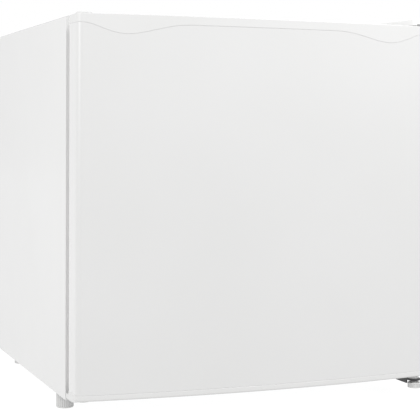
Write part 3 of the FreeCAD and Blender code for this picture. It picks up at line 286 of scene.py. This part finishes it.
def add_piece(name, shape, body, material, replaces=(), sharp=35.0):
    """Turn a bmesh into a shown piece: smooth faces, sharp edges kept, and its place in the frame."""
    limit = math.radians(sharp)
    bmesh.ops.recalc_face_normals(shape, faces=shape.faces)
    for face in shape.faces:
        face.smooth = True
    for edge in shape.edges:
        if len(edge.link_faces) == 2:
            edge.smooth = edge.calc_face_angle(0.0) < limit
    mesh = bpy.data.meshes.new(name)
    shape.to_mesh(mesh)
    shape.free()
    mesh.materials.append(MATERIALS[material])
    piece = bpy.data.objects.new(name, mesh)
    bpy.context.scene.collection.objects.link(piece)
    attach(piece, body)
    if replaces:
        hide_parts(*replaces)
    return piece


def even_shading(piece):
    """Let the large faces lead the shading, so that flat faces stay flat beside rounded edges."""
    modifier = piece.modifiers.new("even_shading", "WEIGHTED_NORMAL")
    modifier.keep_sharp = True
    modifier.weight = LARGE_FACE_WEIGHT


def body_of_node(node):
    """Name of the moving body that a CAD node belongs to."""
    for body, members in frame["record"]["behaviour"]["bodies"].items():
        if node in members:
            return body
    raise KeyError(node)


def dressed_copy(node, round_mm, material=None):
    """The CAD node's own shape with its edges eased, shown in place of the node."""
    shape = bmesh.new()
    shape.from_mesh(frame["nodes"][node].data)
    bmesh.ops.remove_doubles(shape, verts=shape.verts, dist=SAME_POINT)
    bmesh.ops.dissolve_limit(shape, angle_limit=SAME_PLANE, verts=shape.verts, edges=shape.edges)
    edges = [edge for edge in shape.edges if len(edge.link_faces) == 2
             and abs(edge.calc_face_angle(0.0)) > EDGE_ANGLE]
    if round_mm and edges:
        bmesh.ops.bevel(shape, geom=edges, offset=round_mm * MM, segments=EDGE_SEGMENTS,
                        profile=EDGE_PROFILE, affect="EDGES", clamp_overlap=True)
    slot = SLOT_OF[node]
    piece = add_piece(node + "_finished", shape, body_of_node(node), material or slot, (node,), 40.0)
    even_shading(piece)


def ring_surface(shape, rings, closed=True):
    """Quads between rings of the same number of points. Returns the rings' vertices."""
    rows = [[shape.verts.new(point) for point in ring] for ring in rings]
    for low, high in zip(rows, rows[1:]):
        count = len(low)
        for index in range(count if closed else count - 1):
            after = (index + 1) % count
            shape.faces.new((low[index], low[after], high[after], high[index]))
    return rows


def joined(first, second):
    """The two closed meshes as one, with what lies inside taken away."""
    objects = []
    for shape in (first, second):
        bmesh.ops.recalc_face_normals(shape, faces=shape.faces)
        mesh = bpy.data.meshes.new("join")
        shape.to_mesh(mesh)
        shape.free()
        objects.append(bpy.data.objects.new("join", mesh))
        bpy.context.scene.collection.objects.link(objects[-1])
    union = objects[0].modifiers.new("union", "BOOLEAN")
    union.operation = "UNION"
    union.solver = "EXACT"
    union.object = objects[1]
    bpy.context.view_layer.update()
    result = bmesh.new()
    result.from_object(objects[0], bpy.context.evaluated_depsgraph_get())
    for spent in objects:
        mesh = spent.data
        bpy.data.objects.remove(spent)
        bpy.data.meshes.remove(mesh)
    return result


# ---------------------------------------------------------------- door

# The front bows out by BULGE between its sides, and its vertical corners are rounded.
BULGE = 15.5 * MM
DOOR_CORNER = 9.0 * MM
SIDE_STEPS = 4
CORNER_STEPS = 10
HALF_FRONT_STEPS = 60

# Rounded edges: the bottom cap's lower one and the top cap's upper one.
CAP_ROUND = 2.2 * MM
CROWN_ROUND = 0.9 * MM
ROUND_STEPS = 6

# The seams between sheet and caps are SEAM wide. A tongue on each cap, set back from its face by
# the depths here, closes them from behind. SUPPORT is the flat margin beside a rounded edge, and
# LOW_CAP the height of the bottom cap's face.
SEAM = 0.34 * MM
TONGUE = 0.37 * MM
LOW_TONGUE = 0.27 * MM
LOW_TONGUE_RISE = 0.4 * MM
LOW_CAP = 7.26 * MM
SUPPORT = 0.5 * MM

# The sheet lies SKIN_INSET behind the caps' faces and is folded back at both ends.
SKIN_INSET = 0.12 * MM
SKIN_BACK = 2.6 * MM
SKIN_ROWS = 10
LOW_FOLD = 0.05 * MM
HIGH_FOLD = 0.06 * MM

# Edges of the caps at the seams: (inset, distance from the seam), in millimetres.
HIGH_LIP = [(0.22, 0.0), (0.07, 0.15), (0.0, 0.5), (0.0, 1.0)]
LOW_LIP = [(0.0, 0.8), (0.08, 0.4), (0.3, 0.1), (0.55, 0.0)]

# The bottom cap's heel, under the seal. It is full height behind HEEL_FLAT, fades out at HEEL_FRONT,
# reaches HEEL_LAP up into the strip and ends at HEEL_END on the hinge side.
HEEL_END = 200.0 * MM
HEEL_LAP = 2.6 * MM
HEEL_FLAT = -184.0 * MM
HEEL_FRONT = -208.5 * MM
HEEL_INSET = 0.03 * MM
HEEL_TAPER = 3.2 * MM
HEEL_RISE = 1.0 * MM
HEEL_EDGE = 1.1 * MM
HEEL_EDGE_DEPTH = 0.3 * MM
HEEL_EDGE_ANGLE = 0.6

# The web between heel and sheet: its size, and its middle from the door's side, in y, and above the cap.
CHEEK_SIZE = (3.4 * MM, 1.9 * MM, 4.6 * MM)
CHEEK_IN = 1.75 * MM
CHEEK_Y = -175.05 * MM
CHEEK_UP = 4.3 * MM

# The seam under the top cap: (distance from the door's middle, depth below its top), in millimetres.
WAVE = [(0, 11.0), (70, 11.0), (100, 11.0), (119, 12.7), (138, 16.6), (157, 21.0), (174, 23.2),
        (190, 21.8), (205, 17.4), (219, 12.4), (229, 10.6), (240, 10.6)]


def wave_depth(x):
    """Depth of the seam at x, on a smooth curve through the points of WAVE."""
    far = min(abs(x) / MM, WAVE[-1][0])
    last = max(index for index, (place, _) in enumerate(WAVE[:-1]) if place <= far)
    (x0, y0), (x1, y1) = WAVE[last], WAVE[last + 1]
    before = WAVE[max(last - 1, 0)]
    after = WAVE[min(last + 2, len(WAVE) - 1)]
    slope0 = (y1 - before[1]) / (x1 - before[0]) if last else 0.0
    slope1 = (after[1] - y0) / (after[0] - x0)
    span = x1 - x0
    part = (far - x0) / span
    square, cube = part * part, part ** 3
    depth = ((2 * cube - 3 * square + 1) * y0 + (cube - 2 * square + part) * span * slope0
             + (3 * square - 2 * cube) * y1 + (cube - square) * span * slope1)
    return depth * MM


def seam_level(drop):
    """Height of the wavy seam less drop, as a function of x."""
    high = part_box("door_top_cap")[1].z
    return lambda x: high - wave_depth(x) - drop


def door_plan():
    """Outline of the door from above: flat sides, rounded front corners and a front that bows out.

    Each point is (x, y, outward x, outward y). They run from the left side's rear edge round the
    front to the right side's.
    """
    low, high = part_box("door_panel")
    half, back = high.x, high.y
    radius = (half ** 2 + BULGE ** 2) / (2 * BULGE)
    centre = low.y + radius
    inner = radius - DOOR_CORNER
    corner_x = half - DOOR_CORNER
    corner_y = centre - math.sqrt(inner ** 2 - corner_x ** 2)
    lean = math.atan2(corner_x, centre - corner_y)
    points = [(-half, back + (corner_y - back) * part / SIDE_STEPS, -1.0, 0.0)
              for part in range(SIDE_STEPS)]
    for step in range(CORNER_STEPS + 1):
        angle = math.pi + (math.pi / 2 - lean) * step / CORNER_STEPS
        out = (math.cos(angle), math.sin(angle))
        points.append((DOOR_CORNER * out[0] - corner_x, corner_y + DOOR_CORNER * out[1], *out))
    for step in range(1, HALF_FRONT_STEPS + 1):
        angle = -lean + lean * step / HALF_FRONT_STEPS
        out = (math.sin(angle), -math.cos(angle))
        points.append((radius * out[0], centre + radius * out[1], *out))
    mirrored = [(-x, y, -out_x, out_y) for x, y, out_x, out_y in reversed(points[:-1])]
    return points + mirrored


def door_rings(plan, profile):
    """Rings of points for a profile of (inset, height) pairs, where a height may depend on x."""
    rings = []
    for inset, height in profile:
        ring = []
        for x, y, out_x, out_y in plan:
            level = height(x) if callable(height) else height
            ring.append(Vector((x - out_x * inset, y - out_y * inset, level)))
        rings.append(ring)
    return rings


def quarter_turn():
    """Angles from 0 to 90 degrees for a rounded edge."""
    return [math.pi / 2 * step / ROUND_STEPS for step in range(ROUND_STEPS + 1)]


def make_skin(plan, seam_low):
    """Painted sheet of the door, folded back behind both caps."""
    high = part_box("door_top_cap")[1].z
    lower = [(SKIN_BACK, seam_low), (SKIN_INSET + LOW_FOLD, seam_low), (SKIN_INSET, seam_low + LOW_FOLD)]
    walls = [(SKIN_INSET, seam_low + (high - seam_low) * part / SKIN_ROWS)
             for part in range(1, SKIN_ROWS - 1)]
    upper = [(SKIN_INSET, seam_level(SEAM + SUPPORT)), (SKIN_INSET, seam_level(SEAM + HIGH_FOLD)),
             (SKIN_INSET + HIGH_FOLD, seam_level(SEAM)), (SKIN_BACK, seam_level(SEAM))]
    skin = bmesh.new()
    ring_surface(skin, door_rings(plan, lower + walls + upper), closed=False)
    # The sheet takes the darkened door finish, painted shade on the whole door.
    even_shading(add_piece("door_skin", skin, "door", "door_steel_painted_shade", ("door_panel",)))


def make_high_cap(plan):
    """Top cap with its wavy lower edge."""
    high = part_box("door_top_cap")[1].z
    lower = [(SKIN_BACK, seam_level(SEAM)), (TONGUE, seam_level(SEAM)), (TONGUE, seam_level(0.0))]
    lip = [(inset * MM, seam_level(-rise * MM)) for inset, rise in HIGH_LIP]
    face = [(0.0, high - CROWN_ROUND - SUPPORT)]
    crown = [(CROWN_ROUND * (1 - math.cos(angle)), high - CROWN_ROUND * (1 - math.sin(angle)))
             for angle in quarter_turn()]
    cap = bmesh.new()
    rows = ring_surface(cap, door_rings(plan, lower + lip + face + crown), closed=False)
    cap.faces.new(rows[-1])
    even_shading(add_piece("door_cap_high", cap, "door", "white_trim", replaces=("door_top_cap",),
                           sharp=50.0))


def make_low_cap(plan, seam_low):
    """Bottom cap: the strip under the sheet, the heel behind it and the web at its corner."""
    seam = seam_low - SEAM
    low = seam - LOW_CAP
    base = [(CAP_ROUND * (1 - math.sin(angle)), low + CAP_ROUND * (1 - math.cos(angle)))
            for angle in quarter_turn()]
    lip = [(inset * MM, seam - depth * MM) for inset, depth in LOW_LIP]
    tongue = [(LOW_TONGUE, seam), (LOW_TONGUE, seam_low + LOW_TONGUE_RISE),
              (SKIN_BACK, seam_low + LOW_TONGUE_RISE)]
    sill = bmesh.new()
    rows = ring_surface(sill, door_rings(plan, base + lip + tongue), closed=False)
    sill.faces.new(rows[0])
    sill.faces.new(rows[-1])
    sill.faces.new([row[0] for row in rows] + [row[-1] for row in reversed(rows)])
    sill = joined(joined(sill, heel_block(plan, low)), cheek_block(plan, low))
    even_shading(add_piece("door_cap_low", sill, "door", "white_trim", replaces=("door_bottom_cap",),
                           sharp=50.0))


def heel_fade(y):
    """0 where the heel has its full height, rising to 1 where it has faded out."""
    part = min(max((HEEL_FLAT - y) / (HEEL_FLAT - HEEL_FRONT), 0.0), 1.0)
    return part * part


def heel_block(plan, low):
    """Rear part of the bottom cap. It fills the gap under the seal and fades out towards the front."""
    floor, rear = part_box("door_bottom_cap")[0].z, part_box("door_bottom_cap")[1].y
    top = low + HEEL_LAP
    outline = [(plan[0][0], rear, -1.0, 0.0)] + [point for point in plan if point[0] <= 0.0]
    block = bmesh.new()
    rings = []
    for x, y, out_x, out_y in outline:
        inset = HEEL_INSET + HEEL_TAPER * heel_fade(y) ** 2
        level = floor + (low + HEEL_RISE - floor) * heel_fade(y)
        left_x, place_y = x - out_x * inset, y - out_y * inset
        right_x = min(-left_x, HEEL_END)
        rings.append([(left_x, place_y, level), (left_x, place_y, top),
                      (right_x, place_y, top), (right_x, place_y, level)])
    rows = ring_surface(block, rings)
    block.faces.new(rows[0])
    block.faces.new(rows[-1])
    bmesh.ops.remove_doubles(block, verts=block.verts, dist=1e-6)
    bmesh.ops.recalc_face_normals(block, faces=block.faces)
    rim = [edge for edge in block.edges
           if all(vertex.co.z < low - HEEL_EDGE_DEPTH and vertex.co.x < 0.0 for vertex in edge.verts)
           and edge.calc_face_angle(0.0) > HEEL_EDGE_ANGLE]
    bmesh.ops.bevel(block, geom=rim, offset=HEEL_EDGE, segments=4, profile=0.5, affect="EDGES",
                    clamp_overlap=True)
    return block


def cheek_block(plan, low):
    """Small web that closes the corner between the heel and the rounded sheet behind the door."""
    place = (plan[0][0] + CHEEK_IN, CHEEK_Y, low + CHEEK_UP)
    block = bmesh.new()
    bmesh.ops.create_cube(block, size=1.0)
    bmesh.ops.scale(block, vec=CHEEK_SIZE, verts=block.verts)
    bmesh.ops.translate(block, vec=place, verts=block.verts)
    return block


def make_door():
    """The door's sheet and its two caps."""
    plan = door_plan()
    seam_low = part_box("door_panel")[0].z
    make_skin(plan, seam_low)
    make_high_cap(plan)
    make_low_cap(plan, seam_low)


# ---------------------------------------------------------------- gasket

# Section of the seal: (distance in from its outer edge, height off the door), in millimetres.
SEAL_SECTION = [(0.2, 0.0), (0.0, 0.8), (0.3, 1.6), (1.8, 2.2), (3.0, 3.0), (3.1, 3.8), (2.2, 4.6),
                (2.1, 5.4), (2.9, 6.2), (2.6, 6.9), (1.4, 7.3), (1.1, 8.0), (1.1, 12.0), (1.4, 12.8),
                (2.2, 13.2), (8.0, 13.0), (14.6, 13.2), (15.4, 12.8), (15.7, 12.0), (15.7, 8.0),
                (15.4, 7.3), (14.2, 6.9), (13.9, 6.2), (14.7, 5.4), (14.6, 4.6), (13.7, 3.8),
                (13.8, 3.0), (15.0, 2.2), (17.7, 1.6), (18.0, 0.8), (17.8, 0.0)]

# Width of that section, and how much further out its outer edge is put, in millimetres.
SEAL_WIDTH = 18.0
SEAL_SPREAD = 5.0


def make_gasket():
    """Soft seal with bellows sides, mitred at its four corners as a welded one is."""
    low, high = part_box("door_gasket")
    centre = (low + high) / 2
    reach = (high - low) / 2
    rings = []
    for inset, rise in SEAL_SECTION:
        out = SEAL_SPREAD * (1.0 - inset / SEAL_WIDTH) - inset
        rings.append([Vector((centre.x + side_x * (reach.x + out * MM), low.y + rise * MM,
                              centre.z + side_z * (reach.z + out * MM)))
                      for side_x, side_z in ((-1, -1), (1, -1), (1, 1), (-1, 1))])
    shape = bmesh.new()
    ring_surface(shape, rings + [rings[0]])
    bmesh.ops.remove_doubles(shape, verts=shape.verts, dist=1e-7)
    # The seal's very light finish is painted light against the shade of the door gap.
    add_piece("gasket_bellows", shape, "door", "seal_rubber", replaces=("door_gasket",), sharp=60.0)


# ---------------------------------------------------------------- the other nodes

# How far each node's edges are eased, in millimetres. Round wires and hidden fillings are left alone.
EASED = {
    "outer_shell": 0.35, "rear_panel": 0.3, "base_plate": 0.3, "inner_liner": 1.2,
    "compressor_rail": 0.5, "rear_feet": 0.9, "lower_hinge_bracket": 0.5, "lower_hinge_pin": 0.2,
    "hinge_washer": 0.3, "lower_hinge_screws": 0.5, "top_hinge_plate": 0.4, "top_hinge_pin": 0.4,
    "top_hinge_screws": 0.3, "top_hinge_cover": 0.35, "cabinet_hole_plugs": 0.4, "evaporator": 0.4,
    "evaporator_clips": 0.6, "ice_box_frame": 0.9, "thermostat_housing": 0.4,
    "thermostat_switch": 0.6, "sensing_tube": 0.0, "compressor_shell": 1.0, "compressor_feet": 0.6,
    "compressor_grommets": 0.7, "compressor_bolts": 0.4, "terminal_cover": 0.8, "start_relay": 0.8,
    "cord_inlet": 0.8, "condenser_tube": 0.0, "condenser_wires": 0.15, "condenser_clips": 0.5,
    "condenser_screws": 0.3, "filter_drier": 0.3, "suction_pipe": 0.0, "capillary_tube": 0.0,
    "discharge_pipe": 0.0, "drier_pipe": 0.0, "door_liner": 0.8, "hinge_bushes": 0.3,
    "door_hole_plugs": 0.3, "upper_rack_tray": 0.7, "upper_rack_rail": 0.4, "lower_rack_tray": 0.7,
    "lower_rack_rail": 0.4, "shelf_rim": 0.0, "shelf_wires": 0.3, "drip_tray": 0.5,
    "ice_box_flap": 0.6, "thermostat_dial": 0.5, "left_front_foot": 0.3, "right_front_foot": 0.3,
    "hinge_foot": 0.3, "cabinet_foam": 0.0, "door_foam": 0.0, "gasket_magnets": 0.0,
}

# Nodes with a finish of their own in place of the one their slot names. The hinge cover's finish is
# lightened, as painted light on its shaded sides.
OWN_MATERIAL = {"ice_box_flap": "frosted_plastic", "top_hinge_cover": "cover_plastic_painted_light"}


def dress_all():
    """Show every node that has no mesh of its own above."""
    for node, round_mm in EASED.items():
        dressed_copy(node, round_mm, OWN_MATERIAL.get(node))


# ---------------------------------------------------------------- thermostat scale

# The scale's bars grow longer from the first to the last. Sizes are in millimetres, turns in degrees.
MARKS = 7
FIRST_TURN = -135.0
SWEEP = 270.0
SHORTEST_MARK = 1.4
MARK_GROWTH = 0.25
MARK_GAP = 1.6
MARK_HEIGHT = 0.35
MARK_WIDTH = 0.9

RIDGE_START = 2.0
RIDGE_SHARE = 0.45
RIDGE_HEIGHT = 0.6
RIDGE_WIDTH = 1.6
BAR_EDGE = 0.12


def add_bar(shape, centre, face, turn, start, length, height, width):
    """Small bar with eased edges that stands off a face looking along -X, on a radius at turn."""
    made = bmesh.ops.create_cube(shape, size=1.0)["verts"]
    bmesh.ops.scale(shape, vec=(2 * height * MM, width * MM, length), verts=made)
    bmesh.ops.translate(shape, vec=(0.0, 0.0, start + length / 2), verts=made)
    bmesh.ops.rotate(shape, cent=(0, 0, 0), matrix=Matrix.Rotation(math.radians(turn), 3, "X"), verts=made)
    bmesh.ops.translate(shape, vec=(face, centre.y, centre.z), verts=made)
    edges = list({edge for vertex in made for edge in vertex.link_edges})
    bmesh.ops.bevel(shape, geom=edges, offset=BAR_EDGE * MM, segments=2, profile=0.6, affect="EDGES")


def make_dial_marks():
    """Raised scale round the thermostat dial, and the ridge on the dial that points at it."""
    low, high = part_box("thermostat_dial")
    centre = (low + high) / 2
    reach = (high.y - low.y) / 2
    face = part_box("thermostat_housing")[0].x
    scale = bmesh.new()
    for step in range(MARKS):
        turn = FIRST_TURN + SWEEP * step / (MARKS - 1)
        length = (SHORTEST_MARK + MARK_GROWTH * step) * MM
        add_bar(scale, centre, face, turn, reach + MARK_GAP * MM, length, MARK_HEIGHT, MARK_WIDTH)
    add_piece("dial_scale", scale, body_of_node("thermostat_housing"), "scale_grey")
    ridge = bmesh.new()
    add_bar(ridge, centre, low.x, FIRST_TURN, RIDGE_START * MM, reach * RIDGE_SHARE, RIDGE_HEIGHT,
            RIDGE_WIDTH)
    add_piece("dial_ridge", ridge, body_of_node("thermostat_dial"), "scale_grey")


make_materials()
make_camera()
make_surroundings()
make_door()
make_gasket()
dress_all()
make_dial_marks()
bpy.context.scene.view_settings.view_transform = "Standard"
